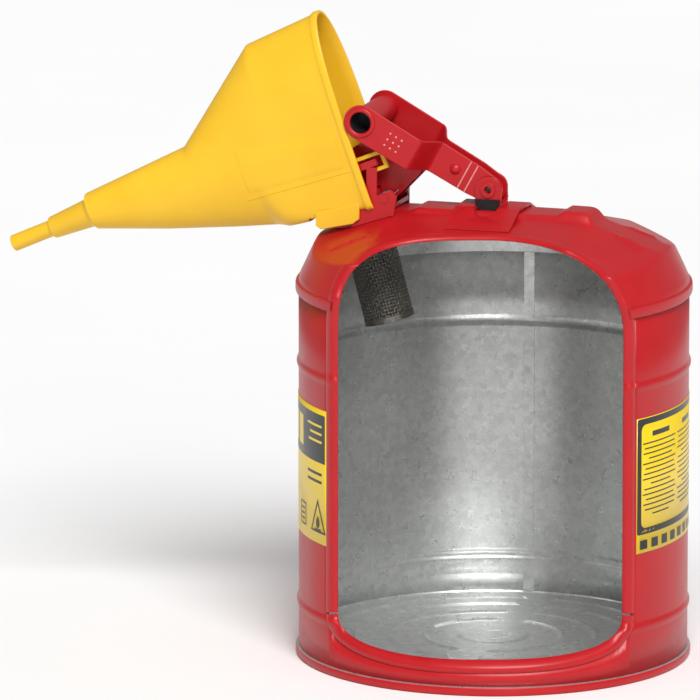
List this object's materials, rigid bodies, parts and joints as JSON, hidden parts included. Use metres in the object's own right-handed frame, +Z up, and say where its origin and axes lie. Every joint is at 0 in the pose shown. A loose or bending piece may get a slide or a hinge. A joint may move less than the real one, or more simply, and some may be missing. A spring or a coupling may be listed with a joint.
{
  "type": "safety gas can",
  "caption": "Cutaway red steel fuel safety can with swing handle, sprung spout cap, flame arrester inside and a clip-on yellow pour funnel.",
  "frame": {"origin": "centre of the circle that the can stands on, in the plane of its foot ring", "axes": "+Z up along the can's axis, spout and funnel towards -X, cut-away window towards -Y"},
  "size_m": [0.533, 0.2987, 0.4846],
  "materials": {
    "red_powder_coat": "glossy powder coat",
    "galvanised_steel": "spangled zinc",
    "steel_mesh": "woven wire",
    "spring_steel": "satin",
    "gasket_rubber": "matte",
    "label_vinyl": "printed vinyl",
    "funnel_plastic": "satin moulded polyethylene"
  },
  "bodies": {
    "can": {"body_shell": "red_powder_coat", "top_dome": "red_powder_coat", "bottom_pan": "galvanised_steel", "side_seam_weld": "galvanised_steel", "window_edge_arch": "red_powder_coat", "window_edge_sill": "red_powder_coat", "spout_neck": "red_powder_coat", "spout_collar": "red_powder_coat", "spout_bracket": "red_powder_coat", "cap_hinge_pin": "red_powder_coat", "arrester_outer_mesh": "steel_mesh", "arrester_inner_mesh": "steel_mesh", "arrester_top_ring": "galvanised_steel", "arrester_bottom_cap": "galvanised_steel", "handle_saddle": "red_powder_coat", "handle_clevis": "red_powder_coat", "handle_pivot_tube": "red_powder_coat", "label_left": "label_vinyl", "label_right": "label_vinyl", "cap_spring": "spring_steel"},
    "handle": {"handle_arm_near": "red_powder_coat", "handle_arm_far": "red_powder_coat", "grip_tube": "red_powder_coat", "handle_rivet": "red_powder_coat", "handle_spacer": "galvanised_steel"},
    "cap": {"cap_cover": "red_powder_coat", "cap_gasket": "gasket_rubber", "cap_relief_spring": "spring_steel", "cap_stem": "spring_steel", "cap_lever": "red_powder_coat"},
    "funnel": {"funnel": "funnel_plastic"}
  },
  "joints": [
    {"name": "handle_swing", "type": "hinge", "parent": "can", "child": "handle", "pos_m": [-0.0022, 0, 0.3564], "axis": [0, 1, 0], "range_deg": [0, 120]},
    {"name": "cap_open", "type": "hinge", "parent": "can", "child": "cap", "pos_m": [-0.07828, 0, 0.34887], "axis": [0, 1, 0], "range_deg": [0, 36], "stiffness_Nm_per_rad": 0.9, "springref_deg": -20.05, "deforming": ["cap_spring"]},
    {"name": "funnel_tilt", "type": "hinge", "parent": "can", "child": "funnel", "pos_m": [-0.093, 0, 0.373], "axis": [0, 1, 0], "range_deg": [0, 4]}
  ]
}
